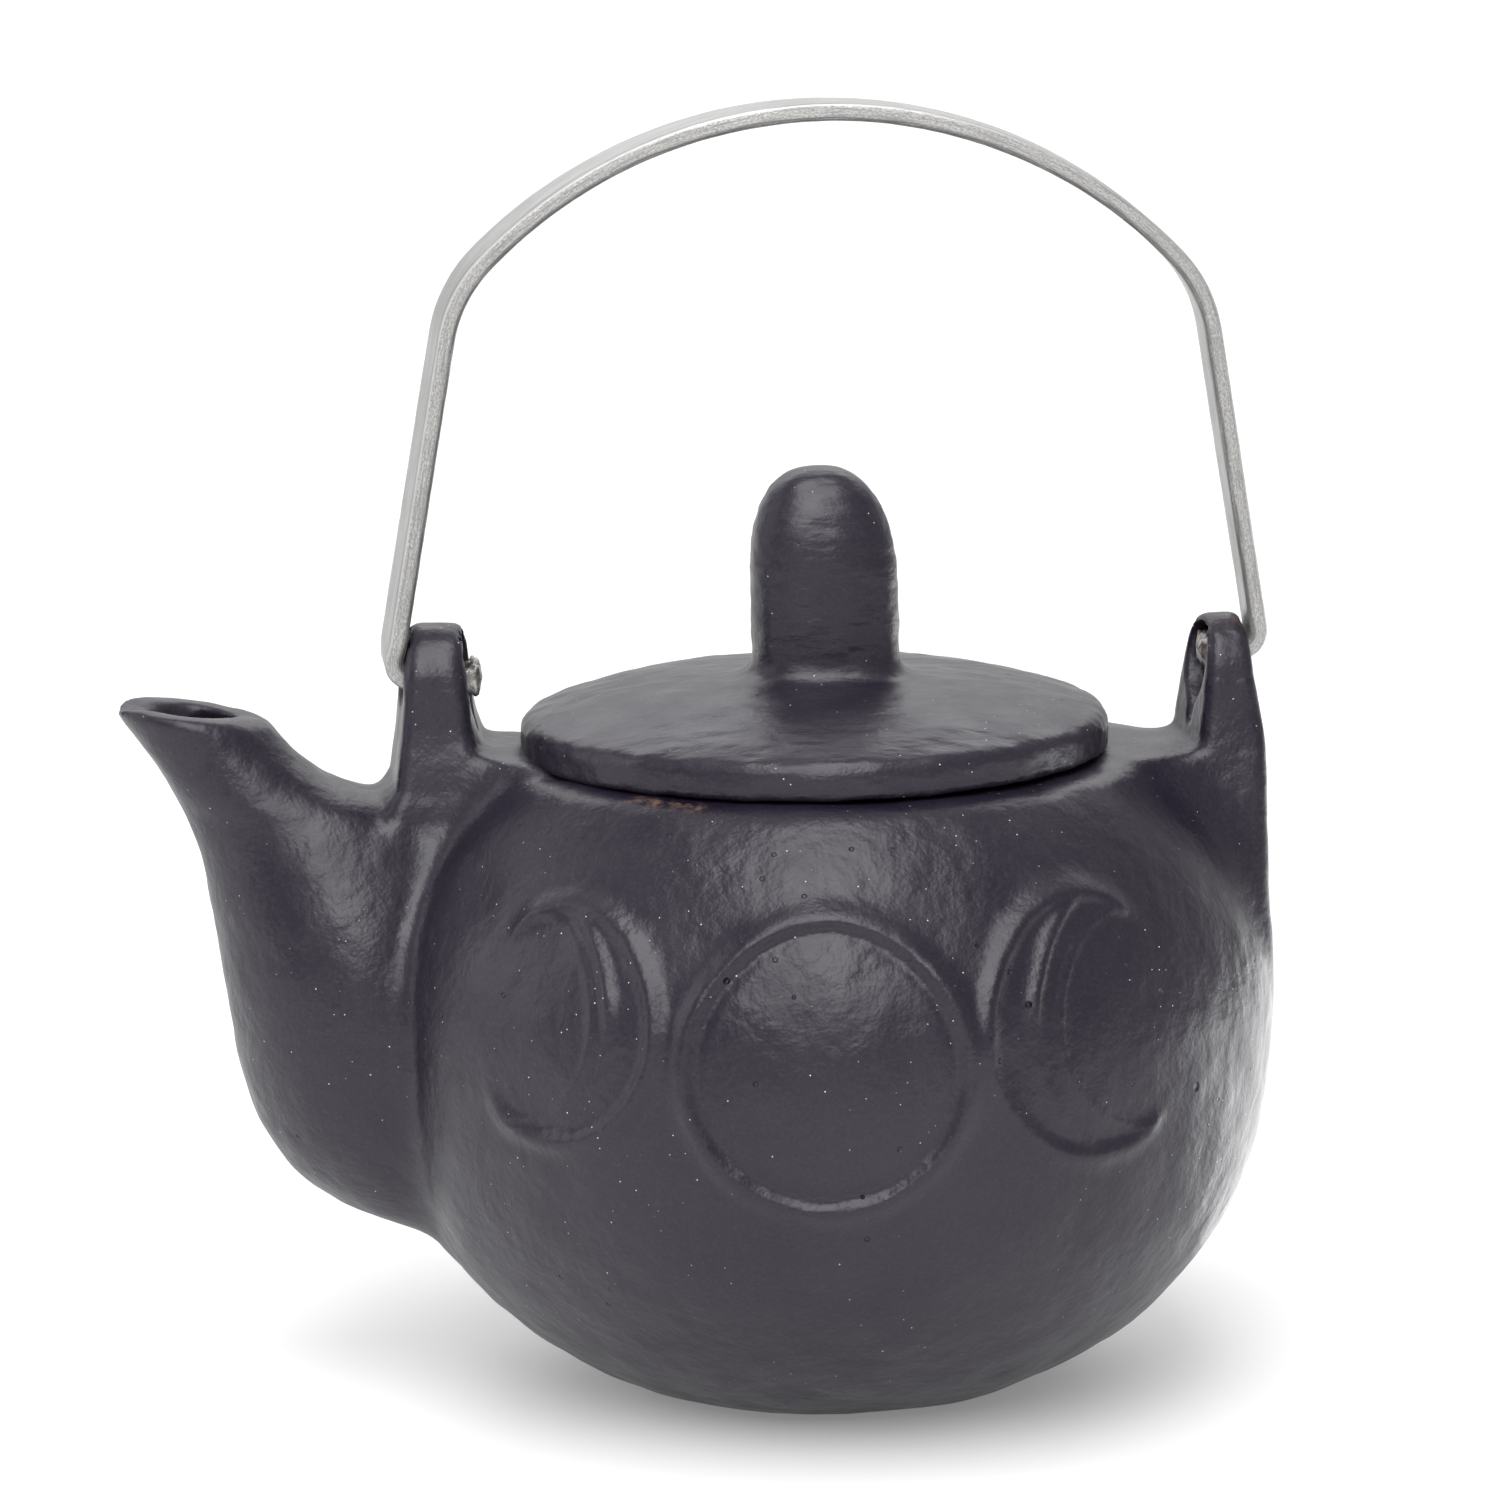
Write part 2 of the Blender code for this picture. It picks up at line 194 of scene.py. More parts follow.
# Bail.
STRIP_THICKNESS = 2.2
STRIP_WIDTH = 7.8
STRIP_EASE = 0.45
ARCH_RADIUS = 60.0
SHOULDER_BEND = 18.0
END_BEND = 2.6
STRIP_STEP = 0.3
LEG_LEAN = math.radians(9.3)
LEG_POINT = (53.6, 98.7)  # a point (x, z) on the straight leg's middle line
LEFT_TWIST = math.radians(6)
TWIST_X = 45.0  # the twist grows from the middle to here
TWIST_FOOT = 92.0  # and fades again just above the ear's hole
TWIST_FADE = 3.0
LEFT_DROP = 1.1  # the left end lies this far below the hinge's line, and the right end above it
RIGHT_RISE = 1.1
LEFT_END = 43.2  # how far from the bail's middle each end stops
RIGHT_END = 46.6
TORN_LENGTH = 2.0
TORN_SWELL = 0.65
TORN_SHRINK = 0.08
END_CLOSE = 1.1

# Marks. A pit is the angle from -Y in degrees, its height and its radius. A painted edge line is the
# distance round the strip's section, the line's reach and its tone.
PITS = (
    (-18.0, 62.2, 0.55),
    (-17.5, 34.0, 0.5),
    (-14.0, 35.2, 0.6),
    (-12.4, 33.8, 0.45),
    (21.0, 58.6, 0.5),
    (48.0, 45.0, 0.7),
)
# Painted light and shade along the strip's rounded corners: a painted highlight on the corner between the
# front edge and the outer face (0.6), painted shade on the outer face beside it (0.22) and on the corner
# between the front edge and the inner face (0.12), and a painted highlight near the back corner of the outer
# face (0.45).
PAINTED_EDGE_LINES = ((11.95, 0.2, 0.6), (12.6, 0.25, 0.22), (10.2, 0.45, 0.12), (18.9, 0.3, 0.45))
EAR_RUST = ((52.2, -2.0, 97.4, 2.4), (50.4, -4.6, 97.2, 1.9), (46.8, 0.0, 95.6, 2.8))
LEDGE_RUST_DEGREES = (-41, -37, -33, -29)
LEDGE_RUST_OUT = 39.2
LEDGE_RUST_RADIUS = 1.9
END_RUST_RADIUS = 5.0

# Camera, in metres.
CAMERA_TURN = math.radians(5.5)
CAMERA_DROP = math.radians(12.35)
CAMERA_DISTANCE = 1.0
SEEN_FROM = Vector((0, 0, 0.050))
AIM = Vector((-0.0087, 0.0073, 0.0792))
LENS = 189.9

# Floor, in metres.
FLOOR_BACK = 2.2
FLOOR_BEND = 0.8


# --- Distance fields ---


def smooth_min(a, b, reach):
    overlap = np.maximum(reach - np.abs(a - b), 0) / reach
    return np.minimum(a, b) - overlap * overlap * reach / 4


def smooth_max(a, b, reach):
    return -smooth_min(-a, -b, reach)


def eased(levels, values, spread=1.0):
    """A smooth curve through a table, as (heights, values) close together."""
    step = 0.25
    heights = np.arange(levels[0], levels[-1] + 0.01, step)
    slopes = np.gradient(values, levels)
    at = np.clip(np.searchsorted(levels, heights, "right") - 1, 0, len(levels) - 2)
    gap = levels[at + 1] - levels[at]
    share = (heights - levels[at]) / gap
    rise = share * share * (3 - 2 * share)
    line = values[at] * (1 - rise) + values[at + 1] * rise
    line += gap * slopes[at] * share * (1 - share) ** 2
    line -= gap * slopes[at + 1] * share**2 * (1 - share)
    count = int(spread / step)
    window = np.ones(2 * count + 1) / (2 * count + 1)
    ends = 2 * line[0] - line[count:0:-1], 2 * line[-1] - line[-2 : -count - 2 : -1]
    return heights, np.convolve(np.concatenate([ends[0], line, ends[1]]), window, "valid")


class Column:
    """A body made of level sections, each an oval from an inner x to an outer x with its own half width."""

    def __init__(self, sections):
        levels, outer, inner, width, power = np.array(sections).T
        shapes = ((outer + inner) / 2, np.abs(outer - inner) / 2, width)
        self.shapes = [eased(levels, values) for values in shapes]
        self.moves = [(heights, np.gradient(values, heights)) for heights, values in self.shapes]
        self.power = eased(levels, power)

    def field(self, x, y, z):
        centre, reach, width = (np.interp(z, *table) for table in self.shapes)
        shift, stretch, widen = (np.interp(z, *table) for table in self.moves)
        power = np.interp(z, *self.power)
        across = np.abs((x - centre) / reach) + 1e-6
        along = np.abs(y / width) + 1e-6
        size = (across**power + along**power) ** (1 / power)
        across, along = across / size, along / size
        slope_x = across ** (power - 1) / reach
        slope_y = along ** (power - 1) / width
        steep = np.hypot(slope_x, slope_y)
        drift = slope_x * (np.sign(x - centre) * shift + stretch * across) + slope_y * widen * along
        return (size - 1) / steep / np.sqrt(1 + (drift / steep) ** 2)


SPOUT = Column(SPOUT_SECTIONS)
CHANNEL = Column(CHANNEL_SECTIONS)
EAR_HEIGHTS, *EAR_SHAPES = np.array(EAR_SECTIONS).T
EAR = [eased(EAR_HEIGHTS, values) for values in EAR_SHAPES]


def bowl(radius, z, inset):
    """Distance from the belly's skin, or from a surface inset below it."""
    widest = BELLY_RADIUS - inset
    low = z < BELLY_HEIGHT
    tall = np.where(low, LOWER_DEPTH, SHOULDER_RISE) - inset
    power = np.where(low, LOWER_POWER, 2.0)
    across = radius / widest + 1e-6
    along = np.abs(z - BELLY_HEIGHT) / tall + 1e-6
    size = (across**power + along**power) ** (1 / power)
    slope = np.hypot((across / size) ** (power - 1) / widest, (along / size) ** (power - 1) / tall)
    return (size - 1) / slope


def bump(distance, width):
    return np.exp(-((distance / width) ** 2))


def step_up(value, width):
    return 0.5 + 0.5 * np.tanh(value / width)


def ridge(distance, outwards, inwards):
    return bump(distance, np.where(distance > 0, outwards, inwards))


def relief(x, y, z):
    """Height of the cast motif above the belly."""
    turn = np.arctan2(x, -y)
    u = BELLY_RADIUS * (turn - MOTIF_TURN)
    distance = np.hypot(u, z - RING_HEIGHT) - RING_RADIUS
    height = RING_RISE * ridge(distance, 1.8, 1.0)
    height += DISC_RISE * step_up(-DISC_INSET - distance, 0.4)
    side, up = np.abs(u) - CRESCENT_OFFSET, z - CRESCENT_HEIGHT
    outer = np.hypot(side, up) - np.where(u < 0, *CRESCENT_RADII)
    away = np.hypot(np.abs(u) - HOLLOW_OFFSET, up)
    second = away - np.where(u < 0, *SECOND_RADII)
    tips = step_up(CRESCENT_REACH - side, 1.6)
    upper = step_up(up - 2.0, 1.5)
    within = step_up(-outer - 1.2, 0.6) * tips
    height += CRESCENT_RISE * ridge(outer, 1.5, 1.2) * tips
    height += (SECOND_RISE + SECOND_UPPER_RISE * upper) * ridge(second, 1.1, 0.8) * within
    height += HOLLOW_RISE * bump(away - HOLLOW_RADIUS, 0.6) * step_up(-outer, 0.6) * tips
    return height


def ear_field(x, y, z):
    """One ear: an upright plate with a round top, and the slot in its inner face that narrows downwards."""
    out = np.abs(x - BAIL_X)
    inner, outer, width = (np.interp(z - RIM_HEIGHT, *table) for table in EAR)
    spread = np.interp(z - RIM_HEIGHT, EAR[2][0], np.gradient(EAR[2][1], EAR[2][0]))
    lean = np.interp(z - RIM_HEIGHT, EAR[0][0], np.gradient(EAR[0][1], EAR[0][0]))
    inner = inner - EAR_SLANT * y + EAR_SHIFT * np.sign(x)
    outer = outer + EAR_STAND * bump(z - EAR_STAND_HEIGHT, EAR_STAND_SPREAD) * (x > 0)
    side = (np.abs(y) - width) / np.sqrt(1 + spread**2)
    arch = np.hypot(y, z - ARCH_CENTRE) - ARCH_RADIUS_Y
    side = np.where(z > ARCH_CENTRE, arch, side)
    slab = smooth_max((inner - out) / np.sqrt(1 + lean**2), out - outer, 1.0)
    plate = smooth_max(side, slab, EAR_CORNER)
    slot = smooth_max(np.abs(y) - np.interp(z, SLOT_LEVELS, SLOT_WIDTH), out - inner - SLOT_DEPTH, 0.6)
    slot = smooth_max(slot, np.abs(z - SLOT_MIDDLE) - SLOT_REACH, 0.8)
    return smooth_max(plate, -slot, 0.7)


def hole_field(x, y, z):
    hole = np.hypot(y, z - PIVOT_HEIGHT) - HOLE_RADIUS
    return smooth_max(hole, HOLE_START - np.abs(x - BAIL_X), 1.0)


def add_spout(field, x, y, z):
    near = (x < -30) & (z > 12)
    spout = SPOUT.field(x[near], y[near], z[near])
    spout = smooth_max(spout, SPOUT_SECTIONS[0][0] - z[near], 2.0)
    field[near] = smooth_min(field[near], spout, SPOUT_FILLET)


def add_ears(field, x, y, z):
    near = (np.abs(x) > 28) & (z > 44)
    fillets = (SPOUT_SIDE_FILLET, FAR_SIDE_FILLET)
    reaches = [np.interp(z[near], EAR_FILLET_LEVELS, fillet) for fillet in fillets]
    reach = np.where(x[near] < 0, *reaches)
    field[near] = smooth_min(field[near], ear_field(x[near], y[near], z[near]), reach)
    near = (np.abs(x) > 38) & (z > 84)
    field[near] = smooth_max(field[near], -hole_field(x[near], y[near], z[near]), 0.9)


def cut_mouth(field, x, z):
    """Cuts the spout's end off along the line from its tip to its heel."""
    near = (x < -60) & (z > 70)
    lean = math.atan2(MOUTH_TIP[1] - MOUTH_HEEL[1], MOUTH_HEEL[0] - MOUTH_TIP[0])
    mouth = (x[near] - MOUTH_TIP[0]) * math.sin(lean) + (z[near] - MOUTH_TIP[1]) * math.cos(lean)
    field[near] = smooth_max(field[near], mouth, 1.5)


def hollow_field(radius, x, y, z):
    """The space inside the bowl, with its mouth and the spout's channel."""
    inside = smooth_max(bowl(radius, z, WALL), FLOOR - z, 3.0)
    inside = smooth_max(inside, z - (RIM_HEIGHT - RIM_THICKNESS), 2.0)
    inside = smooth_min(inside, np.maximum(radius - MOUTH_RADIUS, MOUTH_FOOT - z), 1.0)
    near = (x < -38) & (z > 30)
    inside[near] = smooth_min(inside[near], CHANNEL.field(x[near], y[near], z[near]), 1.2)
    return inside


def pot_field(x, y, z):
    """Distance from the pot's skin, below 0 inside the iron."""
    radius = np.hypot(x, y)
    field = bowl(radius, z, 0)
    front = (y < -20) & (np.abs(field) < 4) & (z > 20) & (z < 79)
    field[front] -= relief(x[front], y[front], z[front])
    field = smooth_max(field, -z, 2.0)
    rim = RIM_HEIGHT + RIM_TILT * x - RIM_FALL * np.maximum(radius - LID_RADIUS, 0)
    field = smooth_max(field, z - rim, 1.1)
    add_spout(field, x, y, z)
    add_ears(field, x, y, z)
    cut_mouth(field, x, z)
    return smooth_max(field, -hollow_field(radius, x, y, z), 0.9)


def lid_top(radius):
    """Height of the lid's upper face, and the share of a rise that is across that face."""
    share = np.minimum(radius / LID_RADIUS, 1)
    slope = 3 * LID_RISE * share**2 / LID_RADIUS
    return SEAT_HEIGHT + LID_EDGE + LID_RISE * (1 - share**3), 1 / np.sqrt(1 + slope**2)


def knob_field(x, y, z):
    base = KNOB_TOP + KNOB_EXTRA - KNOB_DOME
    up = np.maximum(z - base, 0) / KNOB_DOME
    across, along = np.abs(x - KNOB_X + KNOB_LEAN * up) / KNOB_HALF[0], np.abs(y) / KNOB_HALF[1]
    flat = (across**KNOB_PLAN_POWER + along**KNOB_PLAN_POWER) ** (1 / KNOB_PLAN_POWER)
    size = (flat**KNOB_CROWN_POWER + up**KNOB_CROWN_POWER) ** (1 / KNOB_CROWN_POWER) + 1e-6
    return smooth_max((size - 1) * KNOB_MEAN_HALF, KNOB_FOOT - z, 1.0)


def lid_field(x, y, z):
    """Distance from the lid's skin."""
    radius = np.hypot(x - LID_X, y)
    top, across_face = lid_top(radius)
    upper = (z - top) * across_face
    field = smooth_max(smooth_max(upper, radius - LID_RADIUS, LID_CORNER), SEAT_HEIGHT - z, 0.9)
    low, high = LOCATING_RADII
    ring = np.maximum(radius - high, low - LOCATING_BURIED - radius)
    ring = np.maximum(ring, z - SEAT_HEIGHT - LOCATING_BURIED)
    field = smooth_min(field, smooth_max(ring, SEAT_HEIGHT - LOCATING_DEPTH - z, 1.0), 1.0)
    hollow = smooth_max(radius - low, upper + LID_THICKNESS * across_face, 2.0)
    field = smooth_max(field, -hollow, 1.0)
    return smooth_min(field, knob_field(x, y, z), KNOB_FILLET)


# --- Skins round the fields ---


def grid_values(field, low, high, step):
    """The field on a grid: point by point near the skin, and one value to a block elsewhere."""
    counts = np.ceil((np.array(high) - low) / (BLOCK * step)).astype(int)
    middle = (BLOCK - 1) / 2
    centres = [low[i] + step * (middle + BLOCK * np.arange(counts[i])) for i in range(3)]
    blocks = field(*(part.ravel() for part in np.meshgrid(*centres, indexing="ij"))).reshape(counts)
    values = blocks.repeat(BLOCK, 0).repeat(BLOCK, 1).repeat(BLOCK, 2)
    near = np.nonzero(np.abs(values) < 6 * step)
    values[near] = field(*(low[i] + step * near[i] for i in range(3)))
    return values


def crossings(values):
    """One point in each grid cell that the skin passes through, and that point's number for each cell."""
    inside = values < 0
    cells = np.array(values.shape) - 1
    corners = [(i, j, k) for i in (0, 1) for j in (0, 1) for k in (0, 1)]
    count = sum(
        inside[i : cells[0] + i, j : cells[1] + j, k : cells[2] + k].astype(np.int8) for i, j, k in corners
    )
    mixed = (count > 0) & (count < 8)
    index = np.full(cells, -1)
    index[mixed] = np.arange(mixed.sum())
    cell = np.array(np.nonzero(mixed))
    total = np.zeros((3, cell.shape[1]))
    hits = np.zeros(cell.shape[1])
    for axis in range(3):
        along = np.eye(3, dtype=int)[axis]
        for corner in corners:
            if corner[axis]:
                continue
            start = cell + np.array(corner)[:, None]
            one, other = values[tuple(start)], values[tuple(start + along[:, None])]
            cut = (one < 0) != (other < 0)
            share = np.where(cut, one / np.where(cut, one - other, 1), 0)
            total += np.where(cut, np.array(corner)[:, None] + along[:, None] * share, 0)
            hits += cut
    return (cell + total / hits).T, index, inside


def skin_faces(index, inside):
    """A quad round each grid edge that the skin crosses, facing outwards."""
    quads = []
    for axis in range(3):
        one = np.moveaxis(inside, axis, 0)
        cell = np.moveaxis(index, axis, 0)
        here, there = one[:-1, 1:-1, 1:-1], one[1:, 1:-1, 1:-1]
        at = np.array(np.nonzero(here != there))
        ring = [cell[at[0], at[1] + i, at[2] + j] for i, j in ((0, 0), (1, 0), (1, 1), (0, 1))]
        quad = np.stack(ring, 1)
        turned = here[tuple(at)]
        if axis == 1:
            turned = ~turned
        quad[~turned] = quad[~turned][:, ::-1]
        quads.append(quad)
    return np.concatenate(quads)


def gradient(field, points, reach=0.15):
    parts = []
    for axis in range(3):
        shift = np.eye(3)[axis] * reach
        parts.append((field(*(points + shift).T) - field(*(points - shift).T)) / (2 * reach))
    return np.stack(parts, 1)


def settle(field, points, rounds=2):
    """Moves points onto the skin, and returns them with their outward directions."""
    for _ in range(rounds):
        slope = gradient(field, points)
        size = (slope**2).sum(1) + 1e-6
        move = (field(*points.T) / size)[:, None] * slope
        points = points - np.clip(move, -0.35, 0.35)
    return points, slope / np.sqrt(size)[:, None]


def lumps(points, sizes):
    """Cast unevenness: sums noise of several sizes, each given as (size in mm, height in mm)."""
    total = np.zeros(len(points))
    for size, height in sizes:
        total += [height * noise.noise(Vector(point)) for point in points / size]
    return total


def skin(name, field, low, high, step, uneven):
    points, index, inside = crossings(grid_values(field, low, high, step))
    points, outward = settle(field, np.array(low) + step * points)
    points = points + outward * uneven(points)[:, None]
    return mesh_object(name, points * MM, skin_faces(index, inside))


def mesh_object(name, points, faces):
    mesh = bpy.data.meshes.new(name)
    mesh.from_pydata(points.tolist(), [], faces.tolist())
    mesh.validate()
    mesh.shade_smooth()
    obj = bpy.data.objects.new(name, mesh)
    bpy.context.scene.collection.objects.link(obj)
    return obj


# --- Pieces ---


def pot_unevenness(points):
    height = lumps(points, ((14.0, 0.3), (6.0, 0.16), (2.8, 0.07), (1.6, 0.03)))
    foot = np.clip(points[:, 2] / 3, 0, 1)
    return height * foot


def lid_unevenness(points):
    streaks = points * (0.55, 1.0, 1.6)
    return lumps(points, ((12.0, 0.2), (5.0, 0.12))) + lumps(streaks, ((2.4, 0.11), (1.3, 0.05)))


def make_pot():
    low, high = (-92.0, -60.0, -2.0), (60.0, 60.0, EAR_TOP + 2)
    pot = skin("cast_pot", pot_field, low, high, POT_STEP, pot_unevenness)
    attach(pot, "pot")
    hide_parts("pot_body")
    return pot


def make_lid():
    low, high = (-40.0, -39.0, RIM_HEIGHT - LOCATING_DEPTH - 1.5), (38.0, 39.0, KNOB_TOP + 1.5)
    lid = skin("cast_lid", lid_field, low, high, LID_STEP, lid_unevenness)
    seat = Vector((0, 0, RIM_HEIGHT * MM))
    tilt = Matrix.Translation(seat) @ Matrix.Rotation(-LID_TILT, 4, "Y") @ Matrix.Translation(-seat)
    lid.data.transform(tilt)
    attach(lid, "lid")
    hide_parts("lid")
    return lid


def arc(centre, radius, start, end, step=0.5):
    count = max(3, int(abs(end - start) * radius / step))
    turns = np.linspace(start, end, count)
    out = np.stack([np.cos(turns), np.sin(turns)], 1)
    return np.array(centre) + radius * out


def bail_half(pivot, end):
    """The strip's centre line in (x, z) from the top of the arch to one end."""
    outward = np.array((math.cos(LEG_LEAN), math.sin(LEG_LEAN)))
    leg_distance = outward @ LEG_POINT
    centre = np.array((0, ARCH_TOP - STRIP_THICKNESS / 2 - ARCH_RADIUS))
    between = (leg_distance - SHOULDER_BEND - outward @ centre) / (ARCH_RADIUS - SHOULDER_BEND)
    turn = LEG_LEAN + math.acos(between)
    shoulder = centre + np.array((math.cos(turn), math.sin(turn))) * (ARCH_RADIUS - SHOULDER_BEND)
    end_height = pivot + END_BEND
    end_x = (leg_distance - END_BEND - outward[1] * end_height) / outward[0]
    top = arc(centre, ARCH_RADIUS, math.pi / 2, turn)
    upper_bend = arc(shoulder, SHOULDER_BEND, turn, LEG_LEAN)[1:]
    leg_end = arc((end_x, end_height), END_BEND, LEG_LEAN, -math.pi / 2)
    leg = between_points(upper_bend[-1], leg_end[0])
    tip = np.array((end, pivot))
    return np.concatenate([top, upper_bend, leg, leg_end, between_points(leg_end[-1], tip), tip[None]])


def between_points(start, end, step=0.5):
    count = max(2, int(np.linalg.norm(end - start) / step))
    return start + (end - start) * np.linspace(0, 1, count)[1:-1, None]


def strip_section(spacing=0.4):
    """Outline of the strip's section as (across its thickness, across its width), with eased corners."""
    half_t, half_w = STRIP_THICKNESS / 2 - STRIP_EASE, STRIP_WIDTH / 2 - STRIP_EASE
    corners = [(half_t, half_w), (-half_t, half_w), (-half_t, -half_w), (half_t, -half_w)]
    ring = []
    for turn, (corner, following) in enumerate(zip(corners, corners[1:] + corners[:1])):
        angles = np.radians(np.linspace(90 * turn, 90 * turn + 90, 4))
        turned = STRIP_EASE * np.stack([np.cos(angles), np.sin(angles)], 1)
        ring += [tuple(corner + out) for out in turned]
        start = np.array(ring[-1])
        shift = np.array(following) - corner
        steps = np.linspace(0, 1, int(np.linalg.norm(shift) / spacing) + 2)[1:-1]
        ring += [tuple(start + step * shift) for step in steps]
    return np.array(ring)


def bail_line():
    """The centre line in (x, z) from the left end to the right one, at even steps."""
    left = bail_half(PIVOT_HEIGHT - LEFT_DROP, LEFT_END) * (-1, 1)
    right = bail_half(PIVOT_HEIGHT + RIGHT_RISE, RIGHT_END)
    line = np.concatenate([left[::-1], right[1:]])
    along = np.concatenate([[0], np.cumsum(np.linalg.norm(np.diff(line, axis=0), axis=1))])
    places = np.arange(0, along[-1], STRIP_STEP)
    return np.stack([np.interp(places, along, line[:, i]) for i in (0, 1)], 1)


def lay_out_strip(mesh, section, count, around):
    """Gives each corner of the strip's quads its distance along the strip and round its section."""
    steps = np.linalg.norm(np.roll(section, -1, axis=0) - section, axis=1)
    across = np.concatenate([[0], np.cumsum(steps)])
    along = STRIP_STEP * np.arange(count)
    places = np.zeros((count - 1, around, 4, 2))
    places[..., 0] = np.stack([along[:-1], along[1:], along[1:], along[:-1]], -1)[:, None]
    places[..., 1] = np.stack([across[:-1], across[:-1], across[1:], across[1:]], -1)
    layer = mesh.uv_layers.new(name="strip")
    flat = np.zeros(2 * len(mesh.loops))
    flat[: places.size] = places.ravel() * MM
    layer.data.foreach_set("uv", flat)


def strip_profile(line):
    """The section's two measures at each step of the line, with the ends torn, and how torn each step is."""
    section = strip_section()
    from_end = STRIP_STEP * np.minimum(np.arange(len(line)), np.arange(len(line))[::-1])
    torn = np.exp(-((from_end / TORN_LENGTH) ** 4))[:, None]
    close = np.sqrt(np.clip(1 - (1 - from_end / END_CLOSE) ** 2, 0.03, 1))[:, None]
    close[from_end > END_CLOSE] = 1
    thick = section[None, :, 0] * (1 + TORN_SWELL * torn) * close
    wide = section[None, :, 1] * (1 - TORN_SHRINK * torn) * close
    return thick, wide, torn


def strip_points(line):
    """Points round the strip at each step of its line: the left leg is a little twisted."""
    ahead = np.gradient(line, axis=0)
    ahead /= np.linalg.norm(ahead, axis=1)[:, None]
    out = np.stack([-ahead[:, 1], 0 * ahead[:, 0], ahead[:, 0]], 1)[:, None, :]
    twist = -LEFT_TWIST * np.clip(-line[:, 0] / TWIST_X, 0, 1)
    twist *= np.clip((line[:, 1] - TWIST_FOOT) / TWIST_FADE, 0, 1)
    cos, sin = np.cos(twist)[:, None], np.sin(twist)[:, None]
    thick, wide, torn = strip_profile(line)
    cloud = out * (thick * cos - wide * sin)[..., None]
    cloud[..., 1] += wide * cos + thick * sin
    cloud[..., 0] += line[:, None, 0] + BAIL_X
    cloud[..., 2] += line[:, None, 1]
    away = out * (thick / STRIP_THICKNESS)[..., None]
    away[..., 1] += wide / STRIP_WIDTH
    away = (away / (np.linalg.norm(away, axis=2)[..., None] + 1e-9)).reshape(-1, 3)
    count, around = cloud.shape[:2]
    cloud = cloud.reshape(-1, 3)
    swell = lumps(cloud, ((20.0, 0.08), (3.0, 0.03), (1.0, 0.02)))
    burr = lumps(cloud, ((1.5, 0.8), (0.7, 0.7)))
    cloud = cloud + away * (swell + np.repeat(torn[:, 0], around) * burr)[:, None]
    return cloud, count, around


def make_bail():
    """A swept strip with a torn burr at each end."""
    cloud, count, around = strip_points(bail_line())
    rows = np.arange(count * around).reshape(count, around)
    nexts = np.roll(rows, -1, axis=1)
    quads = np.stack([rows[:-1], rows[1:], nexts[1:], nexts[:-1]], -1).reshape(-1, 4)
    faces = quads.tolist() + [rows[0].tolist(), rows[-1][::-1].tolist()]
    mesh = bpy.data.meshes.new("steel_bail")
    mesh.from_pydata((cloud * MM).tolist(), [], faces)
    mesh.shade_smooth()
    lay_out_strip(mesh, strip_section(), count, around)
    bail = bpy.data.objects.new("steel_bail", mesh)
    bpy.context.scene.collection.objects.link(bail)
    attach(bail, "bail")
    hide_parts("bail_handle")
    return bail


# --- Materials ---


class Nodes:
    """Builds a material's node tree."""

    def __init__(self, name):
        self.material = bpy.data.materials.new(name)
        self.material.use_nodes = True
        self.tree = self.material.node_tree
        self.shader = self.tree.nodes["Principled BSDF"]
        self.coordinates = self.add("ShaderNodeTexCoord")
        self.place = self.coordinates.outputs["Object"]

    def add(self, kind, values=None, **settings):
        node = self.tree.nodes.new(kind)
        for key, value in settings.items():
            setattr(node, key, value)
        for key, value in (values or {}).items():
            self.feed(node.inputs[key], value)
        return node

    def feed(self, socket, value):
        if isinstance(value, bpy.types.NodeSocket):
            self.tree.links.new(value, socket)
        else:
            socket.default_value = value

    def math(self, operation, one, other=0.0, clamp=False):
        node = self.add("ShaderNodeMath", operation=operation, use_clamp=clamp)
        self.feed(node.inputs[0], one)
        self.feed(node.inputs[1], other)
        return node.outputs[0]

    def noise(self, scale, detail=2.0, rough=0.5, place=None):
        values = {"Vector": place or self.place, "Scale": scale, "Detail": detail, "Roughness": rough}
        return self.add("ShaderNodeTexNoise", values).outputs["Fac"]

    def stretched(self, scale, place=None):
        return self.add("ShaderNodeMapping", {"Vector": place or self.place, "Scale": scale}).outputs[0]

    def remap(self, value, low, high, out_low=0.0, out_high=1.0):
        values = {"Value": value, "From Min": low, "From Max": high, "To Min": out_low, "To Max": out_high}
        return self.add("ShaderNodeMapRange", values).outputs[0]

    def blend(self, share, one, other):
        node = self.add("ShaderNodeMix", data_type="RGBA")
        self.feed(node.inputs["Factor"], share)
        self.feed(node.inputs[6], one)
        self.feed(node.inputs[7], other)
        return node.outputs[2]

    def specks(self, scale, size):
        """1 on small round spots, one to a cell, and 0 elsewhere."""
        cells = self.add("ShaderNodeTexVoronoi", {"Vector": self.place, "Scale": scale})
        return self.remap(cells.outputs["Distance"], size, size * 0.6)

    def bump(self, height, strength, distance, normal=None):
        values = {"Height": height, "Strength": strength, "Distance": distance}
        node = self.add("ShaderNodeBump", values)
        if normal is not None:
            self.feed(node.inputs["Normal"], normal)
        return node.outputs[0]

    def near(self, centre, radius):
        """1 near a point, falling to 0 at a radius."""
        away = self.add("ShaderNodeVectorMath", operation="DISTANCE")
        self.feed(away.inputs[0], self.place)
        self.feed(away.inputs[1], centre)
        return self.remap(away.outputs["Value"], radius, radius * 0.3)


